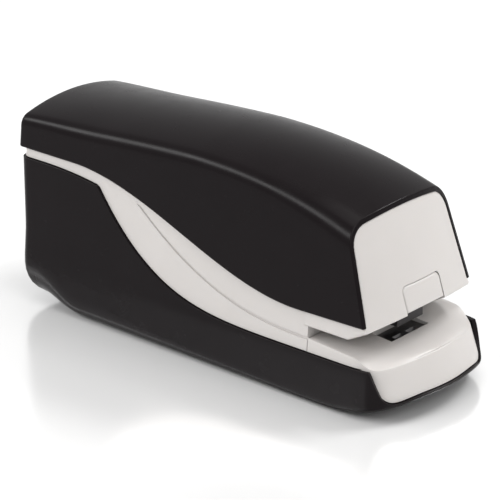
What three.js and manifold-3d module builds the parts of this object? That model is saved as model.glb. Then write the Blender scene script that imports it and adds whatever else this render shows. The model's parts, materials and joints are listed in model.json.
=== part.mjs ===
// Electric stapler, battery driven, for full strips of standard staples.
// Millimetres, +Z up, +X towards the stapling nose, +Y to the stapler's left.
// The origin is at the middle of the outline on the table under the rubber feet.

import * as THREE from 'three';
import { mergeVertices } from 'three/addons/utils/BufferGeometryUtils.js';
import Module from 'manifold-3d';

const wasm = await Module();
wasm.setup();

// ---------------------------------------------------------------- driving dimensions

const LENGTH = 179.5;
const REAR = -LENGTH / 2;
const FRONT = LENGTH / 2;
const HEIGHT = 81.2;
const BASE_HALF_WIDTH = 31;
const FOOT_PROUD = 1;
const SMALLEST_STEP = 0.02;   // surface detail below this is smoothed away
const GAP = 0.3;
const WALL = 1.6;

// Sides: the base is upright up to SIDE_BEND_Z and leans in above it.
const SIDE_BEND_Z = 18;
const BASE_DRAFT = 0.088;
const COVER_HALF_WIDTH = 30;
const COVER_LOW_Z = 34;
const COVER_DRAFT = 0.105;
const REAR_CORNER_R = 4;
const TOP_EDGE_R = 7;
const CROWN = 3.6;

// The base's back wall stands forward of the cover's and curls under at the bottom.
const BACK_STEP = 0.6;
const BACK_HOLLOW = 3;
const BACK_HOLLOW_Z = 30;
const REAR_BOTTOM_R = 12;

// The top arches: highest at PEAK_X, falling to both ends.
const PEAK_X = -14;
const REAR_DROP = 6.4;
const FRONT_DROP = 10;
const FRONT_DROP_X = 62.75;

// The head's front face leans back and bulges in plan.
const FACE_APEX_X = 78.75;
const FACE_APEX_Z = 34;
const FACE_LEAN = THREE.MathUtils.degToRad(21);
const FACE_R = 100;
const FACE_RECESS = 0.3;

// Paper throat between head and base.
const THROAT_X = 49.75;
const THROAT_BACK_X = THROAT_X - GAP;
const HEAD_START_X = THROAT_BACK_X - 1.3;
const THROAT_LOW_Z = 23.8;
const HEAD_LOW_Z = 28;
const LEAD_IN_X = 66.75;
const LEAD_IN_SLOPE = 0.52;

// Nose of the base: rounded in plan, raked like the head's face, its underside rising.
const NOSE_START_X = 70;
const NOSE_RAKE = 0.375;
const NOSE_TIP_Z = 8.7;
const NOSE_RISE_X = 56;
const NOSE_RISE = 6.8;

// Insets from the outer surface to the pieces inside it.
const BAND_INSET = 1;
const LINER_INSET = WALL + GAP + 0.1;
const LINER_WALL = 2;

// Mechanism, in the plane y = 0.
const BLADE_X = 69.3;
const BLADE_STROKE = 10.4;
const LEVER_PIVOT = [24, 44];
const LEVER_ROLLER = [19.99, 58.97];
const ROLLER_R = 3.5;
const CAM_CENTRE = [2, 56];
const CAM_LOW_R = 14.4;
const CAM_HIGH_R = 18;
const CAM_TURN = 200;
const FRAME_HALF_GAP = 9.5;
const FRAME_T = 1.2;

// Wheels lie in three layers outside the left frame plate, the motor's pinion in the first.
const LAYER_T = 2.5;
const LAYERS = [0, 1, 2].map((i) => {
  const start = FRAME_HALF_GAP + FRAME_T + 0.5 + 3 * i;
  return [start, start + LAYER_T];
});
const GEAR_PLATE_Y = [20.6, 21.6];

// Gear stages from the cam back to the motor: module, teeth of the large and the small wheel.
const STAGE_3 = { module: 0.8, large: 34, small: 10, bearing: 188 };
const STAGE_2 = { module: 0.7, large: 36, small: 10, bearing: 150 };
const STAGE_1 = { module: 0.5, large: 44, small: 10, bearing: 240 };
const MESH_PLAY = 0.12;

const MOTOR_R = 12.1;
const MOTOR_LENGTH = 30.5;

// Magazine for a strip of standard staples.
const MAG_HALF_WIDTH = 7.15;
const MAG_LOW_Z = 26.6;
const MAG_HIGH_Z = 33.4;
const MAG_REAR_X = -42;
const MAG_SHEET = 0.6;
const MAG_TRAVEL = 90;
const STRIP_LENGTH = 52;
const STAPLE_HALF_WIDTH = 6.35;
const STAPLE_LEG = 5.9;
const PUSHER_LENGTH = 10;

// Four AA cells stand in the tall rear of the base.
const CELL_R = 7.1;
const CELL_HEIGHT = 49.5;
const CELL_PITCH = 15.1;
const CELL_BLOCK_X = -66.3;
const CELL_LOW_Z = 7.2;
const HOLDER_X = [-82.5, -50.1];
const HOLDER_HALF_WIDTH = 16;
const DOOR_X = [-81.5, -50.8];

// ---------------------------------------------------------------- materials

function finish(color, roughness, metalness) {
  return new THREE.MeshStandardMaterial({ color, roughness, metalness });
}

const BLACK = finish(0x252223, 0.38, 0);
const WHITE = finish(0xd6d1cb, 0.5, 0);
const STEEL = finish(0x9a9c9f, 0.35, 1);
const DARK_STEEL = finish(0x4a4b4e, 0.4, 1);
const BRASS = finish(0xb08d4a, 0.35, 1);
const NYLON = finish(0xe8e4da, 0.5, 0);
const ACETAL = finish(0x2f3338, 0.5, 0);
const RUBBER = finish(0x1b1b1b, 0.9, 0);
const BOARD = finish(0x1e5b3a, 0.55, 0);
const CELL_SKIN = finish(0x2d5f8a, 0.35, 0.2);

// ---------------------------------------------------------------- solids

function solid(geometry) {
  const bare = geometry.clone();
  bare.deleteAttribute('normal');
  bare.deleteAttribute('uv');
  const welded = mergeVertices(bare, 1e-4);
  const vertProperties = new Float32Array(welded.attributes.position.array);
  const triVerts = new Uint32Array(welded.index.array);
  return new wasm.Manifold(new wasm.Mesh({ numProp: 3, vertProperties, triVerts }));
}

function geometryOf(body) {
  const mesh = body.asOriginal().simplify(SMALLEST_STEP).getMesh();
  const geometry = new THREE.BufferGeometry();
  geometry.setAttribute('position', new THREE.BufferAttribute(mesh.vertProperties, 3));
  geometry.setIndex(new THREE.BufferAttribute(mesh.triVerts, 1));
  return geometry;
}

function join(first, ...others) {
  return others.reduce((sum, next) => sum.add(next), first);
}

function cut(first, ...others) {
  return others.reduce((rest, next) => rest.subtract(next), first);
}

function box([x0, x1], [y0, y1], [z0, z1]) {
  const geometry = new THREE.BoxGeometry(x1 - x0, y1 - y0, z1 - z0);
  geometry.translate((x0 + x1) / 2, (y0 + y1) / 2, (z0 + z1) / 2);
  return solid(geometry);
}

// A disc or rod along Y, centred on (x, z), from y0 to y1.
function rodY(radius, [x, z], [y0, y1], sides = 16) {
  const geometry = new THREE.CylinderGeometry(radius, radius, y1 - y0, sides);
  geometry.translate(x, (y0 + y1) / 2, z);
  return solid(geometry);
}

function rodZ(radius, [x, y], [z0, z1], sides = 16) {
  const geometry = new THREE.CylinderGeometry(radius, radius, z1 - z0, sides);
  geometry.rotateX(Math.PI / 2);
  geometry.translate(x, y, (z0 + z1) / 2);
  return solid(geometry);
}

function rodX(radius, [y, z], [x0, x1], sides = 12) {
  const geometry = new THREE.CylinderGeometry(radius, radius, x1 - x0, sides);
  geometry.rotateZ(Math.PI / 2);
  geometry.translate((x0 + x1) / 2, y, z);
  return solid(geometry);
}

// An outline of [x, z] points carried along Y.
function prismY(points, [y0, y1]) {
  const shape = new THREE.Shape(points.map(([x, z]) => new THREE.Vector2(x, z)));
  const geometry = new THREE.ExtrudeGeometry(shape, { depth: y1 - y0, bevelEnabled: false });
  geometry.rotateX(Math.PI / 2);
  geometry.translate(0, y1, 0);
  return solid(geometry);
}

// An outline of [y, z] points carried along X.
function prismX(points, [x0, x1]) {
  const shape = new THREE.Shape(points.map(([y, z]) => new THREE.Vector2(y, z)));
  const geometry = new THREE.ExtrudeGeometry(shape, { depth: x1 - x0, bevelEnabled: false });
  geometry.rotateX(Math.PI / 2);
  geometry.rotateZ(Math.PI / 2);
  geometry.translate(x0, 0, 0);
  return solid(geometry);
}

// A closed skin over rings of equal point count, with a fan over each end.
function loft(rings) {
  const count = rings[0].length;
  const positions = rings.flat(2);
  const index = [];
  for (let i = 0; i < rings.length - 1; i += 1) {
    for (let j = 0; j < count; j += 1) {
      const a = i * count + j;
      const b = i * count + (j + 1) % count;
      index.push(a, b, a + count, b, b + count, a + count);
    }
  }
  for (const end of [0, rings.length - 1]) {
    const ring = rings[end];
    const centre = [0, 1, 2].map((k) => ring.reduce((sum, p) => sum + p[k], 0) / count);
    const hub = positions.length / 3;
    positions.push(...centre);
    for (let j = 0; j < count; j += 1) {
      const a = end * count + j;
      const b = end * count + (j + 1) % count;
      index.push(...(end === 0 ? [hub, b, a] : [hub, a, b]));
    }
  }
  const geometry = new THREE.BufferGeometry();
  geometry.setAttribute('position', new THREE.Float32BufferAttribute(positions, 3));
  geometry.setIndex(index);
  const body = solid(geometry);
  if (body.volume() > 0) {
    return body;
  }
  geometry.setIndex(index.map((_, k) => index[k - (k % 3) + 2 - (k % 3)]));
  return solid(geometry);
}

// ---------------------------------------------------------------- outer form

function topHeight(x) {
  if (x < PEAK_X) {
    return HEIGHT - REAR_DROP * ((PEAK_X - x) / (PEAK_X - REAR)) ** 1.75;
  }
  return HEIGHT - FRONT_DROP * ((x - PEAK_X) / (FRONT_DROP_X - PEAK_X)) ** 2.3;
}

// How far a round of the given radius has pulled the surface in at a distance from the end.
function roundInset(radius, distance) {
  const left = THREE.MathUtils.clamp(radius - distance, 0, radius);
  return radius - Math.sqrt(radius * radius - left * left);
}

function rearStations(start, radius, steps) {
  return Array.from({ length: steps + 1 }, (_, i) => {
    return start + radius * (1 - Math.cos((i / steps) * Math.PI / 2));
  });
}

function coverRing(x, inset, lowZ) {
  const radius = Math.max(REAR_CORNER_R - inset, 1);
  const pull = inset + roundInset(radius, x - REAR - inset);
  const half = (z) => COVER_HALF_WIDTH - pull - COVER_DRAFT * (z - COVER_LOW_Z);
  const top = topHeight(x) - pull;
  const r = Math.max(TOP_EDGE_R - pull, 1);
  const centreZ = top - CROWN - r;
  const centreY = half(centreZ) - r;
  const points = [[half(lowZ), lowZ], [half((lowZ + centreZ) / 2), (lowZ + centreZ) / 2]];
  for (const angle of [6, 24, 42, 60, 77]) {
    const a = THREE.MathUtils.degToRad(angle);
    points.push([centreY + r * Math.cos(a), centreZ + r * Math.sin(a)]);
  }
  const shoulder = points[points.length - 1];
  points.push([shoulder[0] / 2, shoulder[1] + (top - shoulder[1]) * 0.75]);
  const right = points.map(([y, z]) => [x, -y, z]).reverse();
  return [...points.map(([y, z]) => [x, y, z]), [x, 0, top], ...right];
}

function coverSolid(inset, lowZ) {
  const radius = Math.max(REAR_CORNER_R - inset, 1);
  const stations = rearStations(REAR + inset, radius, 4);
  for (let x = REAR + 20; x < FRONT; x += 12) {
    stations.push(x);
  }
  return loft(stations.map((x) => coverRing(x, inset, lowZ)));
}

function noseFactor(x) {
  const t = Math.max(x - NOSE_START_X, 0) / (FRONT - NOSE_START_X);
  return Math.max(1 - t ** 3.2, 0) ** (1 / 1.9);
}

function underside(x) {
  return FOOT_PROUD + NOSE_RISE * (Math.max(x - NOSE_RISE_X, 0) / (FRONT - NOSE_RISE_X)) ** 1.8;
}

// Half width of the base at a station and height, before any inset.
function baseHalf(x, z, rake) {
  const side = BASE_HALF_WIDTH - BASE_DRAFT * Math.max(z - SIDE_BEND_Z, 0);
  return side * noseFactor(x + rake * Math.max(z - NOSE_TIP_Z, 0));
}

const BACK_TOP_X = REAR + BACK_STEP;
const BACK_LOW_X = REAR + BACK_HOLLOW;

// Lowest height of the base near its back: the wall slopes in to the hollow, then curls under.
function backLow(x, inset) {
  const bottomR = REAR_BOTTOM_R - inset;
  if (x >= BACK_LOW_X + inset) {
    return roundInset(bottomR, x - BACK_LOW_X - inset);
  }
  const t = (BACK_LOW_X + inset - x) / (BACK_LOW_X - BACK_TOP_X);
  return bottomR + (56 - bottomR) * t ** 0.7;
}

function baseRing(x, inset, floorDrop, highZ, rake) {
  const cornerR = Math.max(REAR_CORNER_R - inset, 1);
  const low = underside(x) + inset + backLow(x, inset) - floorDrop;
  const high = rake > 0 ? Math.min(highZ, NOSE_TIP_Z + (FRONT - inset - x) / rake) : highZ;
  const edge = 1.5 + 5.5 * THREE.MathUtils.clamp((50 - x) / 100, 0, 1);
  const r = Math.min(Math.max(edge - inset, 0.5), (high - low) / 3);
  const backX = (z) => inset + THREE.MathUtils.lerp(BACK_LOW_X, BACK_TOP_X,
    THREE.MathUtils.clamp((z - BACK_HOLLOW_Z) / 26, 0, 1));
  const pull = (z) => inset + roundInset(cornerR, x - backX(z));
  const half = (z) => Math.max(baseHalf(x + inset, z, rake) - pull(z), 0.4);
  const points = [];
  for (const angle of [0, 30, 60, 90]) {
    const a = THREE.MathUtils.degToRad(angle);
    const z = low + r * (1 - Math.cos(a));
    points.push([Math.max(half(z) - r * (1 - Math.sin(a)), 0.2), z]);
  }
  const span = high - low - r;
  for (const part of [0.25, 0.5, 0.75, 1]) {
    const z = low + r + span * part;
    points.push([half(z), z]);
  }
  const right = points.map(([y, z]) => [x, -y, z]).reverse();
  return [...points.map(([y, z]) => [x, y, z]), ...right];
}

function baseSolid({ inset = 0, floorDrop = 0, highZ = 68, rake = 0 }) {
  const start = BACK_TOP_X + inset;
  const curl = rearStations(BACK_LOW_X + inset, REAR_BOTTOM_R - inset, 5);
  const stations = [start, start + 0.6, start + 1.5, ...curl];
  for (const x of [-60, -40, -20, 0, 20, 40, 56, 64, 70, 74]) {
    stations.push(x);
  }
  const tip = FRONT - inset - 0.02;
  for (let i = 0; i < 8; i += 1) {
    stations.push(tip - (tip - 77) * (1 - i / 7) ** 1.6);
  }
  return loft(stations.map((x) => baseRing(x, inset, floorDrop, highZ, rake)));
}

// Everything behind the head's raked, bulging front, moved back by recess.
function behindFace(recess) {
  const height = 200;
  const drum = new THREE.CylinderGeometry(FACE_R, FACE_R, height, 120);
  drum.rotateX(Math.PI / 2);
  drum.rotateY(-FACE_LEAN);
  const back = FACE_R / Math.cos(FACE_LEAN) + recess;
  drum.translate(FACE_APEX_X - back, 0, FACE_APEX_Z);
  return solid(drum);
}

// ---------------------------------------------------------------- shut lines in side view

function coverEdge(x) {
  const t = THREE.MathUtils.clamp((x + 59) / 105, 0, 1);
  return 59.8 - 26.4 * t * t * (3 - 2 * t) + 0.6 * THREE.MathUtils.clamp((x - 46) / 28, 0, 1);
}

const CORNER_X = -48;
const CASING_CORNER_X = 77;
const CASING_CORNER_Z = 18.7;

function casingEdge(x) {
  if (x < CORNER_X) {
    return 57.9 - 2.5 * Math.max((x + 75) / 27, 0) ** 2;
  }
  if (x < CASING_CORNER_X) {
    return CASING_CORNER_Z + 36.7 * Math.max(1 - (x - CORNER_X) / 100, 0) ** 4;
  }
  const t = Math.min((x - CASING_CORNER_X) / 9, 1);
  return 8.9 + 9.8 * (1 - t) ** 2.5;
}

function stationsBetween(x0, x1, step) {
  const count = Math.ceil((x1 - x0) / step);
  return Array.from({ length: count + 1 }, (_, i) => x0 + (x1 - x0) * i / count);
}

const OUT = 12;
const coverStations = [REAR - OUT, ...stationsBetween(-62, 48, 9), FRONT_DROP_X, FRONT + OUT];
const casingStations = [
  REAR - OUT, ...stationsBetween(-76, CORNER_X, 9), ...stationsBetween(-44, 4, 5.5),
  28, 50, ...stationsBetween(CASING_CORNER_X, 86, 1.5), FRONT + OUT,
];
const WIDE = [-40, 40];

function aboveCoverEdge(offset) {
  const line = coverStations.map((x) => [x, coverEdge(x) + offset]);
  return prismY([...line, [FRONT + OUT, 100], [REAR - OUT, 100]], WIDE);
}

function belowCoverEdge(offset) {
  const line = coverStations.map((x) => [x, coverEdge(x) + offset]).reverse();
  return prismY([...line, [REAR - OUT, -5], [FRONT + OUT, -5]], WIDE);
}

function aboveCasingEdge(offset) {
  const line = casingStations.map((x) => [x, casingEdge(x) + offset]);
  return prismY([...line, [FRONT + OUT, 100], [REAR - OUT, 100]], WIDE);
}

function belowCasingEdge(offset) {
  const line = casingStations.map((x) => [x, casingEdge(x) + offset]).reverse();
  return prismY([...line, [REAR - OUT, -5], [FRONT + OUT, -5]], WIDE);
}

// ---------------------------------------------------------------- the group

const stapler = new THREE.Group();

function add(name, body, material) {
  const mesh = new THREE.Mesh(geometryOf(body), material);
  mesh.name = name;
  stapler.add(mesh);
}

const SIDES = [['left', 1], ['right', -1]];

// ---------------------------------------------------------------- casings

// The space over the throat, whose floor rises towards the front as a lead-in for paper.
function aboveThroat() {
  const end = FRONT + OUT;
  const rise = HEAD_LOW_Z + LEAD_IN_SLOPE * (end - LEAD_IN_X);
  return prismY([[HEAD_START_X, HEAD_LOW_Z], [LEAD_IN_X, HEAD_LOW_Z], [end, rise], [end, 90],
    [HEAD_START_X, 90]], WIDE);
}

const BUTTON = { halfWidth: 10.1, low: 34.4, high: 43.2, corner: 2 };
const PASSAGE_HALF_WIDTH = MAG_HALF_WIDTH + 0.65;
const TRIGGER_Y = [13.2, 15.8];
const TRIGGER_PIVOT = [52, 32.5];
const SCREW_X = [-18, 38];
const SCREW_Y = 19;
const JACK = { y: 19.8, z: 30, r: 3 };
const ANVIL_HOLE = { x: [62.4, 71.2], halfWidth: 10.4 };

// White housing: the band that shows between the black shells, the head's front and the throat.
function mainHousing() {
  const behindThroat = box([REAR - OUT, THROAT_BACK_X], WIDE, [-5, 100]);
  const band = baseSolid({ inset: BAND_INSET, highZ: 62 })
    .intersect(aboveCasingEdge(GAP)).intersect(belowCoverEdge(-GAP));
  const liner = baseSolid({ inset: LINER_INSET })
    .intersect(aboveCasingEdge(-6)).intersect(belowCoverEdge(6));
  const inner = baseSolid({ inset: LINER_INSET + LINER_WALL, floorDrop: 6, highZ: 90 });
  const rear = band.add(liner).intersect(behindThroat).subtract(inner);

  const skirt = coverSolid(BAND_INSET, 20).intersect(belowCoverEdge(-GAP)).intersect(behindFace(GAP));
  const nose = coverSolid(LINER_INSET, 20).intersect(behindFace(FACE_RECESS));
  const innerNose = coverSolid(LINER_INSET + LINER_WALL, 10).intersect(behindFace(2.6));
  const noseZone = prismY([[HEAD_START_X, 20], [FRONT, 20], [FRONT, 80], [61, 80], [56, 40],
    [HEAD_START_X, 40]], WIDE);
  const front = skirt.add(nose).intersect(aboveThroat()).intersect(noseZone).subtract(innerNose);

  const wall = box([THROAT_X - 2.6, THROAT_BACK_X], [-26.5, 26.5], [20, 29.6]);
  const floor = box([THROAT_BACK_X, 73], [-26.5, 26.5], [HEAD_LOW_Z, 29.6])
    .intersect(aboveThroat()).intersect(behindFace(2));
  const bosses = SCREW_X.flatMap((x) => SIDES.map(([, side]) => screwBoss(x, side)));

  const passage = box([THROAT_X - 10, FRONT], [-PASSAGE_HALF_WIDTH, PASSAGE_HALF_WIDTH], [26.2, 34.2]);
  const slot = [TRIGGER_Y[0] - 0.6, TRIGGER_Y[1] + 0.6];
  const triggerSlot = box([THROAT_X - 5, THROAT_X + 8], slot, [21.5, 40]);
  const across = BUTTON.halfWidth + GAP;
  const buttonHole = box([70, FRONT], [-across, across], [BUTTON.low - 0.5, BUTTON.high + GAP]);
  return cut(join(rear, front, wall, floor, ...bosses), passage, triggerSlot, buttonHole);
}

// A post for one screw, tied to the housing's side by a rib.
function screwBoss(x, side) {
  const top = casingEdge(x);
  const post = rodZ(3, [x, side * SCREW_Y], [5, top], 12);
  const rib = box([x - 1, x + 1], [SCREW_Y, 27].map((y) => side * y).sort((a, b) => a - b), [top - 5, top]);
  return post.add(rib).subtract(rodZ(1.8, [x, side * SCREW_Y], [0, 16], 12));
}

function upperCover() {
  const shell = coverSolid(0, 20).subtract(coverSolid(WALL, 10));
  return shell.intersect(aboveCoverEdge(0)).intersect(behindFace(0));
}

function baseShell() {
  return baseSolid({ highZ: 62 }).subtract(baseSolid({ inset: WALL }));
}

function doorBlock(gap) {
  const across = HOLDER_HALF_WIDTH + gap;
  return box([DOOR_X[0] - gap, DOOR_X[1] + gap], [-across, across], [-1, 8]);
}

function lowerCasing() {
  const body = baseShell().intersect(belowCasingEdge(0)).subtract(doorBlock(GAP));
  const screwHoles = SCREW_X.flatMap((x) => SIDES.map(([, side]) => {
    return rodZ(3.3, [x, side * SCREW_Y], [-1, 5]);
  }));
  const jackHole = rodX(JACK.r + GAP, [JACK.y, JACK.z], [REAR - 2, REAR + 6]);
  return cut(body, jackHole, ...screwHoles);
}

function batteryDoor() {
  return baseShell().intersect(doorBlock(0));
}

function baseTop(x) {
  return THROAT_LOW_Z - 0.07 * (x - THROAT_X) - 1.6 * (Math.max(x - 71, 0) / 14.4) ** 2;
}

function baseCover() {
  const front = [THROAT_X, FRONT + 2];
  const topLine = (drop) => stationsBetween(...front, 5).map((x) => [x, baseTop(x) - drop]).reverse();
  const under = (drop) => prismY([[front[0], -5], [front[1], -5], ...topLine(drop)], WIDE);
  const nose = (inset, floorDrop) => baseSolid({ inset, floorDrop, highZ: 30, rake: NOSE_RAKE });
  const behindTip = box([0, 86], WIDE, [-5, 40]);
  const liner = nose(LINER_INSET, 0).intersect(behindTip);
  const body = nose(BAND_INSET, 0).intersect(aboveCasingEdge(GAP)).add(liner).intersect(under(0));
  const rearWall = THROAT_X + 2;
  const room = box([rearWall, 86], WIDE, [-5, 40]);
  const hollow = nose(LINER_INSET + 1.8, 8).intersect(under(2)).intersect(room);
  const { x, halfWidth } = ANVIL_HOLE;
  const hole = box(x, [-halfWidth, halfWidth], [10, 40]);
  return cut(body, hollow, hole, box([0, rearWall], WIDE, [-5, 12]));
}

function anvilPlate() {
  const plate = box([56, 78], [-14, 14], [17.2, 19]);
  const block = box([62.8, 70.8], [-10, 10], [17.2, 21.4]);
  const grooves = [-1, 1].map((side) => rodY(1.6, [BLADE_X, 21.9], [side * 3.6 - 2.4, side * 3.6 + 2.4], 10));
  return cut(plate.add(block), ...grooves);
}

function releaseButton() {
  const plate = behindFace(FACE_RECESS - 0.1).subtract(behindFace(2.4));
  const { halfWidth, low, high, corner } = BUTTON;
  const outline = [[-halfWidth, low], [halfWidth, low], [halfWidth, high - corner],
    [halfWidth - 0.3 * corner, high - 0.3 * corner], [halfWidth - corner, high],
    [corner - halfWidth, high], [0.3 * corner - halfWidth, high - 0.3 * corner],
    [-halfWidth, high - corner]];
  const stem = box([72.2, 76], [-3, 3], [36, 39]);
  return plate.intersect(prismX(outline, [70, FRONT])).add(stem);
}

add('upper_cover', upperCover(), BLACK);
add('main_housing', mainHousing(), WHITE);
add('lower_casing', lowerCasing(), BLACK);
add('base_cover', baseCover(), WHITE);
add('anvil_plate', anvilPlate(), DARK_STEEL);
add('release_button', releaseButton(), WHITE);
add('battery_door', batteryDoor(), BLACK);

for (const [end, x, y] of [['rear', -70, 20.5], ['front', 48, 23]]) {
  for (const [name, side] of SIDES) {
    const foot = rodZ(3.6, [x, side * y], [0, FOOT_PROUD - 0.02], 20);
    add(`foot_${end}_${name}`, foot, RUBBER);
  }
}

for (const [end, x] of [['rear', SCREW_X[0]], ['front', SCREW_X[1]]]) {
  for (const [name, side] of SIDES) {
    const at = [x, side * SCREW_Y];
    add(`screw_${end}_${name}`, rodZ(2.8, at, [1.5, 3.2], 12).add(rodZ(1.4, at, [3.2, 15], 8)), STEEL);
  }
}

// ---------------------------------------------------------------- drive

function polar([x, z], radius, degrees) {
  const a = THREE.MathUtils.degToRad(degrees);
  return [x + radius * Math.cos(a), z + radius * Math.sin(a)];
}

function shaftSpacing(stage) {
  return stage.module * (stage.large + stage.small) / 2 + MESH_PLAY;
}

const IDLER_2 = polar(CAM_CENTRE, shaftSpacing(STAGE_3), STAGE_3.bearing);
const IDLER_1 = polar(IDLER_2, shaftSpacing(STAGE_2), STAGE_2.bearing);
const MOTOR_AT = polar(IDLER_1, shaftSpacing(STAGE_1), STAGE_1.bearing);

// A wheel with straight-flanked teeth, one of them pointing in the direction toothAt.
function toothed(module, teeth, toothAt, centre, layer) {
  const pitchR = module * teeth / 2;
  const pitchAngle = 360 / teeth;
  const root = pitchR - 1.2 * module;
  const tip = pitchR + 0.8 * module;
  const points = [];
  for (let i = 0; i < teeth; i += 1) {
    const middle = toothAt + i * pitchAngle;
    points.push(
      polar(centre, root, middle - 0.31 * pitchAngle),
      polar(centre, tip, middle - 0.12 * pitchAngle),
      polar(centre, tip, middle + 0.12 * pitchAngle),
      polar(centre, root, middle + 0.31 * pitchAngle),
    );
  }
  return prismY(points, layer);
}

function largeWheel(stage, centre, layer) {
  return toothed(stage.module, stage.large, stage.bearing, centre, layer);
}

function smallWheel(stage, centre, layer) {
  return toothed(stage.module, stage.small, stage.bearing + 180 + 180 / stage.small, centre, layer);
}

function idlerGear(outerStage, innerStage, centre, outerLayer, innerLayer) {
  const hub = rodY(2.4, centre, [outerLayer[1], innerLayer[0]], 12);
  const wheels = join(largeWheel(outerStage, centre, outerLayer), hub,
    smallWheel(innerStage, centre, innerLayer));
  return wheels.subtract(rodY(1.5, centre, [0, 30], 12));
}

const CAM_CONTACT = THREE.MathUtils.radToDeg(Math.atan2(
  LEVER_ROLLER[1] - CAM_CENTRE[1], LEVER_ROLLER[0] - CAM_CENTRE[0]));
const CAM_Y = [1.9, 5];

// The cam's radius climbs evenly over the drive stroke, then falls back.
function camRadius(turn) {
  const past = turn - CAM_TURN - 10;
  if (past <= 0) {
    return CAM_LOW_R + (CAM_HIGH_R - CAM_LOW_R) * turn / CAM_TURN;
  }
  const fall = THREE.MathUtils.smoothstep(past, 0, 110);
  return THREE.MathUtils.lerp(CAM_HIGH_R + 0.18, CAM_LOW_R, fall);
}

function snailCam() {
  const points = stationsBetween(0, 350, 10).map((turn) => {
    return polar(CAM_CENTRE, camRadius(turn), CAM_CONTACT + turn);
  });
  return prismY(points, CAM_Y).subtract(rodY(2.8, CAM_CENTRE, [0, 10]));
}

// A flat bar that tapers from one round end to the other.
function bar([x0, z0], r0, [x1, z1], r1, y) {
  const length = Math.hypot(x1 - x0, z1 - z0);
  const [nx, nz] = [(z0 - z1) / length, (x1 - x0) / length];
  const outline = [[x0 - nx * r0, z0 - nz * r0], [x1 - nx * r1, z1 - nz * r1],
    [x1 + nx * r1, z1 + nz * r1], [x0 + nx * r0, z0 + nz * r0]];
  return join(prismY(outline, y), rodY(r0, [x0, z0], y), rodY(r1, [x1, z1], y));
}

const LEVER_Y = [-1.5, 1.5];
const LEVER_TIP = [68.8, 46];

function driveLever() {
  const arm = bar(LEVER_PIVOT, 5, LEVER_TIP, 1.4, LEVER_Y);
  const rise = bar(LEVER_PIVOT, 5, LEVER_ROLLER, 2.8, LEVER_Y);
  const stub = rodY(1.4, LEVER_ROLLER, [0, 5.4], 12);
  return join(arm, rise, stub).subtract(rodY(2.4, LEVER_PIVOT, [-5, 5]));
}

function driverBlade() {
  const plate = box([BLADE_X - 0.3, BLADE_X + 0.3], [-6.1, 6.1], [34.1, 49]);
  const across = [BLADE_X - 2, BLADE_X + 2];
  const leverWindow = box(across, [-2, 2], [44.1, 47.9]);
  const rodFork = box(across, [-1.7, 1.7], [33, 42.2]);
  return cut(plate, leverWindow, rodFork);
}

function framePlate(side) {
  const y = [side * FRAME_HALF_GAP, side * (FRAME_HALF_GAP + FRAME_T)].sort((a, b) => a - b);
  const outline = side > 0
    ? [[-50, 38], [-12, 35.2], [67, 35.2], [67, 47], [56, 58], [30, 68], [-6, 72], [-34, 68], [-50, 60]]
    : [[-12, 35.2], [67, 35.2], [67, 47], [56, 58], [30, 68], [-12, 70]];
  const reach = [Math.min(...y) - 1, Math.max(...y) + 1];
  const holes = [rodY(2.9, CAM_CENTRE, reach), rodY(2.4, LEVER_PIVOT, reach)];
  if (side > 0) {
    holes.push(rodY(1.6, IDLER_1, reach), rodY(1.6, IDLER_2, reach), rodY(3.6, MOTOR_AT, reach));
  }
  return cut(prismY(outline, y), ...holes);
}

function gearPlate() {
  const inner = bar(CAM_CENTRE, 5, IDLER_2, 3.5, GEAR_PLATE_Y);
  const outer = bar(IDLER_2, 3.5, IDLER_1, 3.5, GEAR_PLATE_Y);
  const holes = [rodY(2.9, CAM_CENTRE, [20, 22]), rodY(1.6, IDLER_1, [20, 22]), rodY(1.6, IDLER_2, [20, 22])];
  return cut(inner.add(outer), ...holes);
}

function motorCan() {
  const rear = FRAME_HALF_GAP - GAP - MOTOR_LENGTH;
  const can = rodY(MOTOR_R, MOTOR_AT, [rear, FRAME_HALF_GAP - GAP], 28);
  const flat = box([-60, -20], [rear - 1, 20], [MOTOR_AT[1] + 9.6, MOTOR_AT[1] + 20]);
  const tabs = [-4, 4].map((offset) => {
    return box([MOTOR_AT[0] + offset - 1, MOTOR_AT[0] + offset + 1], [rear - 2, rear + 1],
      [MOTOR_AT[1] - 0.3, MOTOR_AT[1] + 0.3]);
  });
  return join(can.subtract(flat), ...tabs);
}

function motorPinion() {
  return smallWheel(STAGE_1, MOTOR_AT, LAYERS[0]).add(rodY(1, MOTOR_AT, [FRAME_HALF_GAP, 14.2], 12));
}

class TorsionPath extends THREE.Curve {
  getPoint(t, target = new THREE.Vector3()) {
    const turns = 3;
    const a = t * turns * 2 * Math.PI;
    const [x, z] = LEVER_PIVOT;
    return target.set(x + 3.6 * Math.cos(a), -7.6 + 4.4 * t, z + 3.6 * Math.sin(a));
  }
}

function wire(path, radius, sides, steps) {
  const section = new THREE.Shape();
  for (let i = 0; i < sides; i += 1) {
    const a = (i / sides) * 2 * Math.PI;
    const at = [radius * Math.cos(a), radius * Math.sin(a)];
    if (i === 0) {
      section.moveTo(...at);
    } else {
      section.lineTo(...at);
    }
  }
  return solid(new THREE.ExtrudeGeometry(section, { steps, extrudePath: path, bevelEnabled: false }));
}

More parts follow.
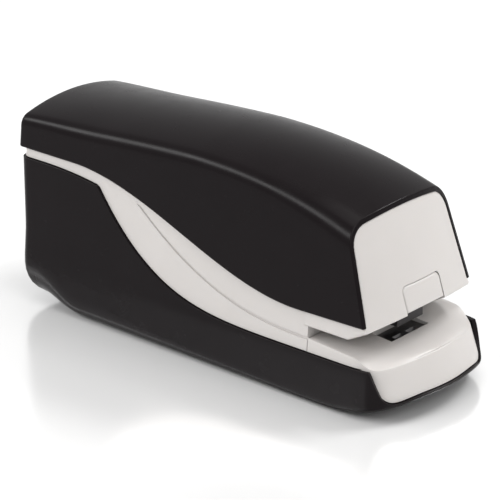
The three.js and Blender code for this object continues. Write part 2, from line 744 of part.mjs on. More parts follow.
add('frame_left', framePlate(1), STEEL);
add('frame_right', framePlate(-1), STEEL);
add('gear_plate', gearPlate(), STEEL);
const SPACERS = [[28, 64.5], [54, 56], [-9.4, 38.2]];
SPACERS.forEach((at, i) => {
  add(`frame_spacer_${i + 1}`, rodY(2, at, [0.3 - FRAME_HALF_GAP, FRAME_HALF_GAP - 0.3], 12), STEEL);
});
add('motor', motorCan(), STEEL);
add('motor_pinion', motorPinion(), BRASS);
add('idler_gear_1', idlerGear(STAGE_1, STAGE_2, IDLER_1, LAYERS[0], LAYERS[1]), NYLON);
add('idler_gear_2', idlerGear(STAGE_2, STAGE_3, IDLER_2, LAYERS[1], LAYERS[2]), NYLON);
add('idler_shaft_1', rodY(1.2, IDLER_1, [9, 21.8], 10), STEEL);
add('idler_shaft_2', rodY(1.2, IDLER_2, [9, 21.8], 10), STEEL);
add('cam_gear', largeWheel(STAGE_3, CAM_CENTRE, LAYERS[2]).subtract(rodY(2.8, CAM_CENTRE, [0, 30])), NYLON);
add('snail_cam', snailCam(), ACETAL);
add('cam_shaft', rodY(2.5, CAM_CENTRE, [-11.4, 22]), STEEL);
add('drive_lever', driveLever(), DARK_STEEL);
add('lever_pivot_pin', rodY(2, LEVER_PIVOT, [-11.4, 11.4], 12), STEEL);
add('lever_spring', wire(new TorsionPath(), 0.4, 5, 36), STEEL);
const roller = rodY(ROLLER_R, LEVER_ROLLER, [2, 5], 24);
add('cam_roller', roller.subtract(rodY(1.7, LEVER_ROLLER, [0, 8], 12)), STEEL);
add('driver_blade', driverBlade(), DARK_STEEL);

// ---------------------------------------------------------------- magazine

const ROD_Z = 30;
const STRIP_FRONT_X = BLADE_X - 0.8;
const PUSHER_FRONT_X = STRIP_FRONT_X - STRIP_LENGTH - GAP;
const PUSHER_REAR_X = PUSHER_FRONT_X - PUSHER_LENGTH;

function magazineChannel() {
  const out = MAG_HALF_WIDTH;
  const inside = out - MAG_SHEET;
  const block = box([MAG_REAR_X, BLADE_X + 1.6], [-out, out], [MAG_LOW_Z, MAG_HIGH_Z]);
  const room = [MAG_REAR_X + 1, BLADE_X + 0.7];
  const trough = box(room, [-inside, inside], [MAG_LOW_Z + MAG_SHEET, MAG_HIGH_Z + 1]);
  const throat = box([BLADE_X - 0.7, BLADE_X + 0.7], [-inside, inside], [MAG_LOW_Z - 1, MAG_HIGH_Z]);
  const openX = BLADE_X - MAG_TRAVEL;
  const floorSlot = box([openX - 0.9, openX + 0.9], [-6.4, 6.4], [MAG_LOW_Z - 1, MAG_LOW_Z + 1]);
  return cut(block, trough, throat, floorSlot);
}

function stapleStrip() {
  const high = MAG_LOW_Z + MAG_SHEET + 0.2 + STAPLE_LEG;
  const block = box([STRIP_FRONT_X - STRIP_LENGTH, STRIP_FRONT_X], [-STAPLE_HALF_WIDTH, STAPLE_HALF_WIDTH],
    [MAG_LOW_Z + MAG_SHEET + 0.2, high]);
  const hollow = box([-60, 90], [0.5 - STAPLE_HALF_WIDTH, STAPLE_HALF_WIDTH - 0.5], [20, high - 0.5]);
  return block.subtract(hollow);
}

function pusher() {
  const body = box([PUSHER_REAR_X, PUSHER_FRONT_X], [-6.2, 6.2], [MAG_LOW_Z + MAG_SHEET + 0.3, 33.2]);
  return body.subtract(rodX(1.6, [0, ROD_Z], [-20, 40]));
}

class CoilPath extends THREE.Curve {
  getPoint(t, target = new THREE.Vector3()) {
    const a = t * 12 * 2 * Math.PI;
    const x = THREE.MathUtils.lerp(MAG_REAR_X + 2, PUSHER_REAR_X - 0.8, t);
    return target.set(x, 2.1 * Math.cos(a), ROD_Z + 2.1 * Math.sin(a));
  }
}

add('magazine_channel', magazineChannel(), STEEL);
add('guide_rod', rodX(1.2, [0, ROD_Z], [MAG_REAR_X + 1.3, BLADE_X - 2], 10), STEEL);
add('staple_strip', stapleStrip(), STEEL);
add('staple_pusher', pusher(), ACETAL);
add('pusher_spring', wire(new CoilPath(), 0.3, 4, 96), STEEL);

// ---------------------------------------------------------------- paper trigger and switches

const TRIGGER_MID_Y = (TRIGGER_Y[0] + TRIGGER_Y[1]) / 2;

function paperTrigger() {
  const [x, z] = TRIGGER_PIVOT;
  const boss = rodY(2, TRIGGER_PIVOT, TRIGGER_Y, 12);
  const finger = box([x - 1, x + 1], TRIGGER_Y, [24.6, z]);
  const kicker = box([x, x + 1.6], TRIGGER_Y, [z, z + 5]);
  return join(boss, finger, kicker).subtract(rodY(1.1, TRIGGER_PIVOT, [10, 20], 10));
}

add('paper_trigger', paperTrigger(), ACETAL);
add('trigger_pin', rodY(0.8, TRIGGER_PIVOT, [TRIGGER_MID_Y - 3, TRIGGER_MID_Y + 3], 10), STEEL);
add('start_switch', box([56, 63], [12, 17], [33, 39]), ACETAL);
add('home_switch', box([-9, -1], [-8.8, -3.4], [40.5, 46]), ACETAL);

// ---------------------------------------------------------------- power

function batteryHolder() {
  const wall = 1.2;
  const across = HOLDER_HALF_WIDTH;
  const [x0, x1] = HOLDER_X;
  const outside = box([x0, x1], [-across, across], [6.6, 59.6]);
  const room = box([x0 + wall, x1 - wall], [wall - across, across - wall], [0, 58.4]);
  return outside.subtract(room);
}

function cell(x, y, up) {
  const body = rodZ(CELL_R, [x, y], [CELL_LOW_Z, CELL_LOW_Z + CELL_HEIGHT - 1], 20);
  const nub = up
    ? rodZ(2.7, [x, y], [CELL_LOW_Z + CELL_HEIGHT - 1.2, CELL_LOW_Z + CELL_HEIGHT], 12)
    : rodZ(2.7, [x, y], [CELL_LOW_Z - 0.6, CELL_LOW_Z + 0.2], 12);
  return body.add(nub);
}

add('battery_holder', batteryHolder(), ACETAL);
[-1, 1].forEach((along, i) => {
  [-1, 1].forEach((across, j) => {
    const at = [CELL_BLOCK_X + along * CELL_PITCH / 2, across * CELL_PITCH / 2];
    add(`battery_cell_${2 * i + j + 1}`, cell(...at, (i + j) % 2 === 0), CELL_SKIN);
  });
});
for (const [name, side] of SIDES) {
  const y = [side * 3.5, side * 11.5].sort((a, b) => a - b);
  const plate = box([CELL_BLOCK_X - 12, CELL_BLOCK_X + 12], y, [57.2, 57.7]);
  add(`top_contact_${name}`, plate, STEEL);
}
add('door_contact', box([CELL_BLOCK_X - 11, CELL_BLOCK_X + 11], [-11.5, 11.5], [5.2, 5.7]), STEEL);
add('circuit_board', box([-80, -46], [-17, 17], [66.4, 68]), BOARD);

function powerJack() {
  const start = BACK_LOW_X + WALL + GAP;
  const body = box([start, start + 6.5], [JACK.y - 3.4, JACK.y + 3.4], [JACK.z - 4.5, JACK.z + 4.5]);
  const collar = rodX(JACK.r, [JACK.y, JACK.z], [BACK_LOW_X + 0.5, start + 1], 16);
  return body.add(collar).subtract(rodX(2.4, [JACK.y, JACK.z], [REAR - 1, start + 5], 12));
}

add('power_jack', powerJack(), ACETAL);

export default stapler;
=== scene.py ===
import json
import math
import bmesh
import bpy
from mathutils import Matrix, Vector


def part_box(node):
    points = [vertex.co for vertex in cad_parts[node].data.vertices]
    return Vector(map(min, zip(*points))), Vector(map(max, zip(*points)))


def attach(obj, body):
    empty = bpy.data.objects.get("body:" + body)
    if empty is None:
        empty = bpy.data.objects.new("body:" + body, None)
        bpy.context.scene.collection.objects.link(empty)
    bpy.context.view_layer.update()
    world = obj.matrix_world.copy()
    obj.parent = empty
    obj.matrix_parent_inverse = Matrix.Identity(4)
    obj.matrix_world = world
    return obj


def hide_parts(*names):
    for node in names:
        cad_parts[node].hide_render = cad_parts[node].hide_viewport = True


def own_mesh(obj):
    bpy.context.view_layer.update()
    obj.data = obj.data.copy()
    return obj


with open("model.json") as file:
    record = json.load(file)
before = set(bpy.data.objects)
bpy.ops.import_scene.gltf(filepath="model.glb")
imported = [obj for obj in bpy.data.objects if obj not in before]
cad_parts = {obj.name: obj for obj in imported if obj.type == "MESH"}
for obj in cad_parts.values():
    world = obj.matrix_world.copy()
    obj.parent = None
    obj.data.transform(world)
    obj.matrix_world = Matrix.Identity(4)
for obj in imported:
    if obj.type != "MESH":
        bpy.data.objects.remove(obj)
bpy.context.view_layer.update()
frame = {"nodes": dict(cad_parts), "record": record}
NODES = frame["nodes"]
RECORD = frame["record"]
MM = 0.001

# ---------------------------------------------------------------- small sums


def clamp(v, low=0.0, high=1.0):
    return min(max(v, low), high)


def lerp(a, b, t):
    return a + (b - a) * t


def smooth(t):
    """0 to 1 with level ends."""
    t = clamp(t)
    return t * t * (3 - 2 * t)


def share(v, stretch):
    """How far v has come along a (start, end) stretch: 0 at its start and 1 at its end."""
    start, end = stretch
    return (v - start) / (end - start)


def steps(a, b, n):
    """n equal steps from a to b, with both ends."""
    return [lerp(a, b, i / n) for i in range(n + 1)]


def quarter(n):
    """The angles of a quarter turn in n steps, without the first."""
    return steps(0, math.pi / 2, n)[1:]


def cad_box(name):
    """A CAD node's lowest and highest corners in millimetres."""
    return [[round(v / MM, 2) for v in corner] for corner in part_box(name)]


# ---------------------------------------------------------------- sizes and places, in millimetres

COVER_LOW, COVER_HIGH = cad_box("upper_cover")
CASING_LOW, CASING_HIGH = cad_box("lower_casing")
BUTTON_LOW, BUTTON_HIGH = cad_box("release_button")

REAR, HEIGHT = COVER_LOW[0], round(COVER_HIGH[2], 1)
FRONT = -REAR
WALL, GAP = 1.6, 0.3
BAND_INSET, LINER_INSET = 1.0, 2.0

# cover: an arch, with sides that lean in and edges that grow rounder towards the front
PEAK_X, ARCH_END_X = -4.0, 62.75
REAR_FALL, REAR_POWER = 6.6, 1.35
FRONT_FALL, FRONT_POWER = 9.3, 2.3
COVER_HALF, COVER_LEAN, COVER_LEAN_Z = 30.0, 0.105, 34.0
COVER_CORNER_R, COVER_LEAST_R = 1.8, 1.0
TURN_X = -60.0
EDGE_START, EDGE_END_GUESS = math.radians(6), math.radians(70)
EDGE_R = {"rear": 4.8, "middle": 6.2, "front": 10.0, "rear_run": 35.0}
CROWN = {"rear": 2.9, "middle": 3.6, "front": 2.0, "rear_run": 45.0}
FRONT_RUN_X = (20.0, 65.0)
COVER_EDGE_Z, COVER_EDGE_FALL, COVER_EDGE_LIFT = 59.5, 26.1, 0.6
COVER_EDGE_FALL_X, COVER_EDGE_LIFT_X = (-62.0, 44.0), (46.0, 74.0)

# casing's edge: nearly level at the rear, a sweep down the side, and a drop round the nose
CASING_REAR_Z, CASING_SAG, SAG_X = 55.8, 2.1, (-75.0, -48.0)
CASING_FRONT_Z, SWEEP_FALL, SWEEP_POWER, SWEEP_X = 18.7, 35.0, 4, (-48.0, 49.0)
NOSE_EDGE_Z, NOSE_FALL, NOSE_FALL_POWER, NOSE_FALL_X = 8.9, 9.8, 2.5, (77.0, 86.0)
NOSE_DIP, DIP_DOWN_X, DIP_UP_X = 2.0, (78.0, 81.5), (82.5, 89.0)

# base: its plan outline, its back and its underside
BASE_HALF, BASE_LEAN, UPRIGHT_Z = CASING_HIGH[1], 0.088, 18.0
NOSE_START, NOSE_RAKE, NOSE_TIP_Z = 70.0, 0.375, 8.7
NOSE_FULLNESS, NOSE_SIDE_FULLNESS = 0.69, 1.0526
BACK_LOW_X, BACK_TOP_X, BACK_LEAN_Z = REAR + 3.0, REAR + 0.6, (30.0, 56.0)
REAR_CORNER_R, REAR_CORNER_LEAST_R = 4.0, 0.8
REAR_BOTTOM_R, REAR_BOTTOM_X = 14.5, (-58.0, -82.0)
BOTTOM_R, BOTTOM_R_X = (1.5, 4.0), (50.0, -50.0)
FLOOR_Z, NOSE_RISE, NOSE_RISE_POWER, NOSE_RISE_X = CASING_LOW[2], 6.8, 1.8, (56.0, FRONT)
LEAST_SIDE, BOTTOM_LEAST_R, BOTTOM_R_ROOM = 0.6, 0.3, 0.2

# lower jaw
THROAT_X = cad_box("base_cover")[0][0]
THROAT_BACK_X = THROAT_X - GAP
JAW_Z, JAW_SLOPE = 23.8, 0.07
JAW_ROLL, JAW_ROLL_X = 0.7, (71.0, 85.4)
CREASE_Z, CREASE_FALL, CREASE_HALF, CREASE_X = 20.2, 1.6, 27.6, (69.0, 78.0)
JAW_INSIDE_INSET, JAW_THICKNESS, JAW_EDGE_R = LINER_INSET + 1.8, 2.0, 0.3
JAW_LIP, JAW_LEAST_LIP, LIP_ROOM, INNER_LIP_ROOM = 3.0, 0.1, WALL + 0.35, WALL + 0.45
ANVIL_OPENING = ((62.4, 71.2), (-10.4, 10.4), (10.0, 40.0))

# head: its leaning, bulging front, its underside, and its two skins as distances in from the form
FACE_R, FACE_LEAN, FACE_X, FACE_Z = 100.0, math.radians(18.5), 78.75, 34.0
HEAD_LOW_Z, LEAD_IN_X, LEAD_IN_SLOPE = 28.0, 66.75, 0.52
HEAD_START_X = THROAT_BACK_X - 1.4
HEAD_CENTRE_Z = 48.0
HEAD_OUTSIDE = {"floor": 0.0, "skirt": BAND_INSET, "top": WALL + 0.15, "front": 0.3}
HEAD_INSIDE = {"floor": WALL, "skirt": 3.4, "top": 3.6, "front": 2.6}
HEAD_LOW_R, FACE_EDGE_R = 0.9, 0.35
HEAD_LEAST_SIDE, HEAD_TOP_STEP = 1.2, 0.45
THROAT_WALL = ((THROAT_X - 2.6, THROAT_BACK_X), (-26.3, 26.3), (20.0, 29.2))

# button in the front, with the notch round it
BUTTON_HALF, BUTTON_CORNER_R, BUTTON_CENTRE_Z = BUTTON_HIGH[1], 2.2, 39.0
BUTTON_EDGE_R, BUTTON_RECESS, BUTTON_DEPTHS = 0.7, 0.2, (1.2, 2.0, 2.6)
NOTCH_LOW_Z, NOTCH_X = 30.0, (71.0, 92.0)

# openings that follow a CAD node, with room round it
PASSAGE_ROOM, PASSAGE_X, PASSAGE_Z = 0.65, (40.0, 92.0), (26.2, 34.2)
TRIGGER_ROOM, TRIGGER_SLOT_X, TRIGGER_SLOT_Z = 0.6, (44.0, 57.75), (21.5, 40.0)
DOOR_OPENING_Z = (-1.0, 8.0)
HOLE_R, SCREW_HOLE_Z, JACK_HOLE_X = 3.3, (-1.0, 5.0), (REAR - 2, REAR + 7)

# white band, with its thin groove
BAND_LIP, BAND_WALL = 5.0, 2.0
GROOVE_TOP_Z, GROOVE_FALL, GROOVE_POWER, GROOVE_X = 52.1, 28.4, 2.35, (-29.7, 49.6)
GROOVE_DEPTH, GROOVE_FADE_X = 0.6, (-30.5, -28.0)
GROOVE_HALF, GROOVE_FLOOR_HALF, GROOVE_MARGIN, GROOVE_TO_EDGE = 0.62, 0.42, 0.9, 1.0

# spring behind the staples
SPRING_WIRE_R, SPRING_R, SPRING_TURNS = 0.2, 1.45, 22

# ---------------------------------------------------------------- lines and surfaces of the form


def top_height(x):
    if x < PEAK_X:
        return HEIGHT - REAR_FALL * share(x, (PEAK_X, REAR)) ** REAR_POWER
    return HEIGHT - FRONT_FALL * share(x, (PEAK_X, ARCH_END_X)) ** FRONT_POWER


def cover_edge(x):
    fall = COVER_EDGE_FALL * smooth(share(x, COVER_EDGE_FALL_X))
    return COVER_EDGE_Z - fall + COVER_EDGE_LIFT * clamp(share(x, COVER_EDGE_LIFT_X))


def casing_edge(x):
    if x < SWEEP_X[0]:
        return CASING_REAR_Z - CASING_SAG * max(share(x, SAG_X), 0) ** 2
    if x < NOSE_FALL_X[0]:
        return CASING_FRONT_Z + SWEEP_FALL * max(1 - share(x, SWEEP_X), 0) ** SWEEP_POWER
    dip = NOSE_DIP * smooth(share(x, DIP_DOWN_X)) * (1 - smooth(share(x, DIP_UP_X)))
    return NOSE_EDGE_Z + NOSE_FALL * (1 - min(share(x, NOSE_FALL_X), 1)) ** NOSE_FALL_POWER - dip


def groove_height(x):
    return GROOVE_TOP_Z - GROOVE_FALL * (1 - (1 - clamp(share(x, GROOVE_X))) ** GROOVE_POWER)


def jaw_top(x):
    """Height of the jaw's plate along the middle line."""
    return JAW_Z - JAW_SLOPE * (x - THROAT_X) - JAW_ROLL * max(share(x, JAW_ROLL_X), 0) ** 2


def crease_height(x, y):
    """Height of the plate's edge: level along the sides, rolling down to the nose's crease."""
    nose = CREASE_Z - CREASE_FALL * (y / CREASE_HALF) ** 2
    return lerp(jaw_top(x), nose, smooth(share(x, CREASE_X)))


def underside(x):
    return FLOOR_Z + NOSE_RISE * max(share(x, NOSE_RISE_X), 0) ** NOSE_RISE_POWER


def face_x(y, z, recess=0.0):
    """Where the head's front lies at a width and height, set back by recess."""
    back = FACE_R / math.cos(FACE_LEAN) + recess
    reach = math.sqrt(FACE_R * FACE_R - y * y) - math.sin(FACE_LEAN) * (z - FACE_Z)
    return FACE_X - back + reach / math.cos(FACE_LEAN)


def face_point(y, z, centre_z, k, recess):
    """A point of the head's front: (y, z) for k 1, drawn in to (0, centre_z) as k falls to 0."""
    y, z = lerp(0, y, k), lerp(centre_z, z, k)
    return face_x(y, z, recess), y, z


def to_face(point, start, f, recess=0.0):
    """A section's point, moved along X so that f 0 lies at start and f 1 on the head's front."""
    x = lerp(start, FACE_X, f)
    for _ in range(12):
        y, z = point(x)
        x = lerp(start, face_x(y, z, recess), f)
    y, z = point(x)
    return x, y, z


def round_inset(radius, distance):
    """How far a rounded corner lies inside its square one, at a distance from the corner."""
    left = clamp(radius - distance, 0, radius)
    return radius - math.sqrt(radius * radius - left * left)


def swelling(x, size):
    """A size of the cover that changes from the rear to the middle and on to the front."""
    rear = lerp(size["rear"], size["middle"], smooth(share(x, (REAR, REAR + size["rear_run"]))))
    return rear + (size["front"] - size["middle"]) * smooth(share(x, FRONT_RUN_X))


def cover_side(z, inset):
    return COVER_HALF - inset - COVER_LEAN * (z - COVER_LEAN_Z)


# steps of the cover's section up its side, round its edge and across its crown
SIDE_N, ARC_N, CROWN_N = 10, 9, 12
SECTION_N = SIDE_N + ARC_N + CROWN_N


def cover_point(x, inset, k, low_edge=cover_edge):
    """Point k of the cover's half section, from its lower edge up the side to the middle of the top."""
    pull = inset + round_inset(max(COVER_CORNER_R - inset, COVER_LEAST_R), x - REAR - inset)
    top = top_height(x) - pull
    crown = swelling(x, CROWN)
    r = max(swelling(x, EDGE_R) - pull, COVER_LEAST_R)
    centre_z = top - crown - r
    centre_y = cover_side(centre_z, pull) - r
    first, last = EDGE_START, EDGE_END_GUESS
    # the rounded edge ends where it has the slope of the crown, which is a parabola
    for _ in range(4):
        drop = crown + r * (1 - math.sin(last))
        last = math.atan2(1, 2 * drop / (centre_y + r * math.cos(last)))
    if k < SIDE_N:
        z = lerp(low_edge(x), centre_z + r * math.sin(first), k / SIDE_N)
        inward = r / math.cos(first) - r if z > centre_z else 0
        return cover_side(z, pull) - inward, z
    if k <= SIDE_N + ARC_N:
        a = lerp(first, last, (k - SIDE_N) / ARC_N)
        return centre_y + r * math.cos(a), centre_z + r * math.sin(a)
    ys, zs = centre_y + r * math.cos(last), centre_z + r * math.sin(last)
    y = ys * (1 - (k - SIDE_N - ARC_N) / CROWN_N)
    return y, top - (top - zs) * (y / ys) ** 2


def outline(u, z, inset, rake=0.0, rear=None):
    """Plan outline of the base at a height.

    u is 0 at the nose's tip, 1 where the side begins, 2 where it ends (at rear, if that is given), 3 past the
    rear corner and 4 at the middle of the back.
    """
    side = BASE_HALF - BASE_LEAN * max(z - UPRIGHT_Z, 0) - inset
    tip = FRONT - inset - rake * max(z - NOSE_TIP_Z, 0)
    start = NOSE_START - rake * max(z - NOSE_TIP_Z, 0)
    back = lerp(BACK_LOW_X, BACK_TOP_X, clamp(share(z, BACK_LEAN_Z))) + inset
    r = max(REAR_CORNER_R - inset, REAR_CORNER_LEAST_R)
    if u <= 1:
        a = math.pi / 2 * (1 - u)
        x = start + (tip - start) * math.sin(a) ** NOSE_FULLNESS
        return x, side * max(math.cos(a), 0) ** NOSE_SIDE_FULLNESS
    if u <= 2:
        return lerp(start, back + r if rear is None else rear, u - 1), side
    if u <= 3:
        a = math.pi / 2 * (u - 2)
        return back + r * (1 - math.sin(a)), side - r * (1 - math.cos(a))
    return back, (side - r) * (4 - u)


def station_x(u):
    return outline(u, UPRIGHT_Z, 0)[0]


# ---------------------------------------------------------------- meshes from patches (grids of points)


def mirrored(patches):
    """The patches of a half and those of its other half."""
    return patches + [[[(x, -y, z) for x, y, z in row] for row in rows] for rows in patches]


def ends(rows, inner_rows, i):
    """The strip that joins point i of each row to the same point of the inner rows."""
    return [[row[i] for row in rows], [row[i] for row in inner_rows]]


def solid(name, patches, material):
    """One closed mesh from patches in millimetres, welded along their shared edges."""
    bm = bmesh.new()
    for rows in patches:
        grid = [[bm.verts.new((x * MM, y * MM, z * MM)) for x, y, z in row] for row in rows]
        for a, b in zip(grid, grid[1:]):
            for i in range(len(a) - 1):
                bm.faces.new((a[i], a[i + 1], b[i + 1], b[i]))
    bmesh.ops.remove_doubles(bm, verts=bm.verts, dist=2e-6)
    bmesh.ops.dissolve_degenerate(bm, edges=bm.edges, dist=1e-6)
    bmesh.ops.recalc_face_normals(bm, faces=bm.faces)
    if bm.calc_volume(signed=True) < 0:
        bmesh.ops.reverse_faces(bm, faces=bm.faces)
    open_edges = [e for e in bm.edges if len(e.link_faces) != 2]
    if open_edges:
        print(name, "has", len(open_edges), "open edges near", open_edges[0].verts[0].co)
    for face in bm.faces:
        face.smooth = True
    mesh = bpy.data.meshes.new(name)
    bm.to_mesh(mesh)
    bm.free()
    piece = bpy.data.objects.new(name, mesh)
    bpy.context.scene.collection.objects.link(piece)
    mesh.materials.append(MATERIALS[material])
    return piece


def build(name, body, patches, material):
    """A solid that is a piece of the stapler and rides on a CAD body."""
    piece = solid(name, patches, material)
    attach(piece, body)
    return piece


def along_x(a, b, t):
    return t, a, b


def along_z(a, b, t):
    return a, b, t


def prism(points, span, place=along_x):
    """A closed prism over an outline, from one end of span to the other."""
    loop = [*points, points[0]]
    middle = [sum(p[i] for p in points) / len(points) for i in (0, 1)]
    side = [[place(a, b, t) for a, b in loop] for t in span]
    caps = [[row, [place(*middle, t)] * len(loop)] for row, t in zip(side, span)]
    return [side, *caps]


def block(x, y, z):
    (y0, y1), (z0, z1) = y, z
    return prism([(y0, z0), (y1, z0), (y1, z1), (y0, z1)], x)


def circle(a, b, radius):
    return [(a + radius * math.cos(t), b + radius * math.sin(t)) for t in steps(0, 2 * math.pi, 28)[:-1]]


def opening(name, room, **spans):
    """A block over a CAD node's box, with room on each side along the axes that spans doesn't give."""
    low, high = cad_box(name)
    return block(*[spans.get(axis, (low[i] - room, high[i] + room)) for i, axis in enumerate("xyz")])


def carve(piece, cuts):
    """Cuts closed patches out of a piece and keeps the result as its mesh."""
    tools = [solid("tool", patches, "white") for patches in cuts]
    for tool in tools:
        cut = piece.modifiers.new("cut", "BOOLEAN")
        cut.operation = "DIFFERENCE"
        cut.solver = "EXACT"
        cut.object = tool
    bpy.context.view_layer.update()
    made = bpy.data.meshes.new_from_object(piece.evaluated_get(bpy.context.evaluated_depsgraph_get()))
    piece.modifiers.clear()
    piece.data = made
    for tool in tools:
        bpy.data.objects.remove(tool)


def soften(piece, width, segments=3, angle=38):
    """Rounds the piece's edges that are sharper than an angle in degrees."""
    bevel = piece.modifiers.new("edges", "BEVEL")
    bevel.width = width * MM
    bevel.segments = segments
    bevel.limit_method = "ANGLE"
    bevel.angle_limit = math.radians(angle)
    bevel.use_clamp_overlap = True
    bevel.harden_normals = True


# ---------------------------------------------------------------- materials


def shader(name):
    material = bpy.data.materials.new(name)
    material.use_nodes = True
    tree = material.node_tree
    return material, tree, tree.nodes["Principled BSDF"]


def node(tree, kind, **values):
    """A new node, with each value on the input or the property of that name."""
    made = tree.nodes.new(kind)
    for key, value in values.items():
        if key in made.inputs:
            made.inputs[key].default_value = value
        else:
            setattr(made, key, value)
    return made


def object_coords(tree):
    return node(tree, "ShaderNodeTexCoord").outputs["Object"]


def noise(tree, scale, detail=3.0, stretch=None):
    """Noise over the object's own coordinates, finer along the axes that stretch multiplies."""
    source = object_coords(tree)
    if stretch:
        mapping = node(tree, "ShaderNodeMapping", Scale=stretch)
        tree.links.new(source, mapping.inputs["Vector"])
        source = mapping.outputs["Vector"]
    made = node(tree, "ShaderNodeTexNoise", Scale=scale, Detail=detail)
    tree.links.new(source, made.inputs["Vector"])
    return made.outputs["Fac"]


def spread(tree, fac, to, source=(0.3, 0.7)):
    """Maps one (low, high) range of a value to another."""
    made = node(tree, "ShaderNodeMapRange")
    made.inputs["From Min"].default_value, made.inputs["From Max"].default_value = source
    made.inputs["To Min"].default_value, made.inputs["To Max"].default_value = to
    tree.links.new(fac, made.inputs["Value"])
    return made.outputs["Result"]


def tint(tree, surface, fac, low, high):
    """The base colour goes from low to high with a value."""
    made = node(tree, "ShaderNodeMix", data_type="RGBA")
    made.inputs[6].default_value = (*low, 1)
    made.inputs[7].default_value = (*high, 1)
    tree.links.new(fac, made.inputs["Factor"])
    tree.links.new(made.outputs[2], surface.inputs["Base Color"])


def gloss(tree, surface, scale, detail, rough):
    """Patchy roughness within a (low, high) range."""
    tree.links.new(spread(tree, noise(tree, scale, detail), rough), surface.inputs["Roughness"])


def bumped(tree, surface, fac, strength, depth_mm):
    made = node(tree, "ShaderNodeBump", Strength=strength, Distance=depth_mm * MM)
    tree.links.new(fac, made.inputs["Height"])
    tree.links.new(made.outputs["Normal"], surface.inputs["Normal"])


def plastic(name, low, high, rough, grain_mm=0.25, grain=0.12, depth=0.02, specular=0.5, soft=0.0):
    """Moulded plastic: faint cloudy colour, uneven gloss and a fine spark-eroded grain."""
    material, tree, surface = shader(name)
    tint(tree, surface, noise(tree, 60, 2), low, high)
    gloss(tree, surface, 140, 4, rough)
    surface.inputs["Specular IOR Level"].default_value = specular
    if soft:
        surface.inputs["Subsurface Weight"].default_value = soft
        surface.inputs["Subsurface Radius"].default_value = (0.002, 0.0015, 0.001)
    bumped(tree, surface, noise(tree, 1 / (grain_mm * MM), 2), grain, depth)
    return material


def metal(name, low, high, rough, stretch=(1, 1, 12), scale=900, bump=0.05):
    """Metal with drawing lines along one direction and patchy gloss."""
    material, tree, surface = shader(name)
    lines = noise(tree, scale, 3, stretch)
    surface.inputs["Metallic"].default_value = 1
    tint(tree, surface, lines, low, high)
    gloss(tree, surface, 300, 3, rough)
    bumped(tree, surface, lines, bump, 0.02)
    return material


def staple_wire():
    """Bright staple wire, with one groove between neighbouring staples along X, each groove darkened by
    painted shade.
    """
    material, tree, surface = shader("staple_wire")
    wave = node(tree, "ShaderNodeTexWave", wave_type="BANDS", bands_direction="X", wave_profile="SIN",
                Scale=630)
    tree.links.new(object_coords(tree), wave.inputs["Vector"])
    surface.inputs["Metallic"].default_value = 1
    # painted shade: the colour darkens in each groove between staples
    tint(tree, surface, wave.outputs["Fac"], (0.12, 0.12, 0.12), (0.42, 0.42, 0.43))
    gloss(tree, surface, 500, 2, (0.22, 0.34))
    bumped(tree, surface, wave.outputs["Fac"], 0.6, 0.15)
    return material


def cell_sleeve():
    """Plain printed battery sleeve with a copper-coloured band round its upper end."""
    material, tree, surface = shader("cell_sleeve")
    parts = node(tree, "ShaderNodeSeparateXYZ")
    tree.links.new(object_coords(tree), parts.inputs["Vector"])
    band = spread(tree, parts.outputs["Z"], (0, 1), (0.0425, 0.0426))
    tint(tree, surface, band, (0.015, 0.03, 0.07), (0.55, 0.27, 0.09))
    surface.inputs["Metallic"].default_value = 0.6
    gloss(tree, surface, 400, 3, (0.2, 0.35))
    return material


def solder_mask():
    """Green solder mask over a faint pattern of copper tracks."""
    material, tree, surface = shader("solder_mask")
    bricks = node(tree, "ShaderNodeTexBrick", Scale=220)
    tree.links.new(object_coords(tree), bricks.inputs["Vector"])
    bricks.inputs["Color1"].default_value = (0.01, 0.1, 0.04, 1)
    bricks.inputs["Color2"].default_value = (0.015, 0.13, 0.05, 1)
    bricks.inputs["Mortar"].default_value = (0.04, 0.25, 0.1, 1)
    tree.links.new(bricks.outputs["Color"], surface.inputs["Base Color"])
    gloss(tree, surface, 300, 2, (0.25, 0.4))
    return material


MATERIALS = {
    "black": plastic(
        "black_abs", (0.0046, 0.0032, 0.0037), (0.006, 0.0043, 0.0049), (0.22, 0.28),
        grain_mm=0.3, grain=0.1, specular=0.085),
    "white": plastic(
        "white_abs", (0.42, 0.4, 0.386), (0.445, 0.425, 0.411), (0.32, 0.4),
        grain_mm=0.3, specular=0.45, soft=0.05),
    "acetal": plastic("dark_acetal", (0.02, 0.021, 0.024), (0.03, 0.031, 0.034), (0.35, 0.45)),
    "nylon": plastic(
        "natural_nylon", (0.68, 0.64, 0.54), (0.76, 0.73, 0.63), (0.3, 0.42),
        grain_mm=0.4, grain=0.1, soft=0.15),
    "rubber": plastic(
        "rubber", (0.009, 0.009, 0.009), (0.016, 0.016, 0.016), (0.75, 0.9),
        grain_mm=0.15, grain=0.3, depth=0.03, specular=0.3),
    "steel": metal("zinc_steel", (0.42, 0.43, 0.44), (0.56, 0.57, 0.58), (0.24, 0.36)),
    "dark_steel": metal("oiled_steel", (0.09, 0.088, 0.09), (0.17, 0.165, 0.165), (0.28, 0.42)),
    # painted shade: near-black steel for the magazine channel, so the passage under the head stays as dark as
    # shadow
    "painted_shade_steel": metal("painted_shade_steel", (0.03, 0.028, 0.029), (0.06, 0.057, 0.058), (0.3, 0.42)),
    "chrome": metal(
        "nickel_plate", (0.68, 0.68, 0.69), (0.78, 0.78, 0.79), (0.08, 0.16),
        stretch=(1, 6, 6), scale=700, bump=0.02),
    "brass": metal("brass", (0.55, 0.38, 0.14), (0.66, 0.47, 0.2), (0.22, 0.34)),
    "strip": staple_wire(),
    "cell": cell_sleeve(),
    "board": solder_mask(),
}
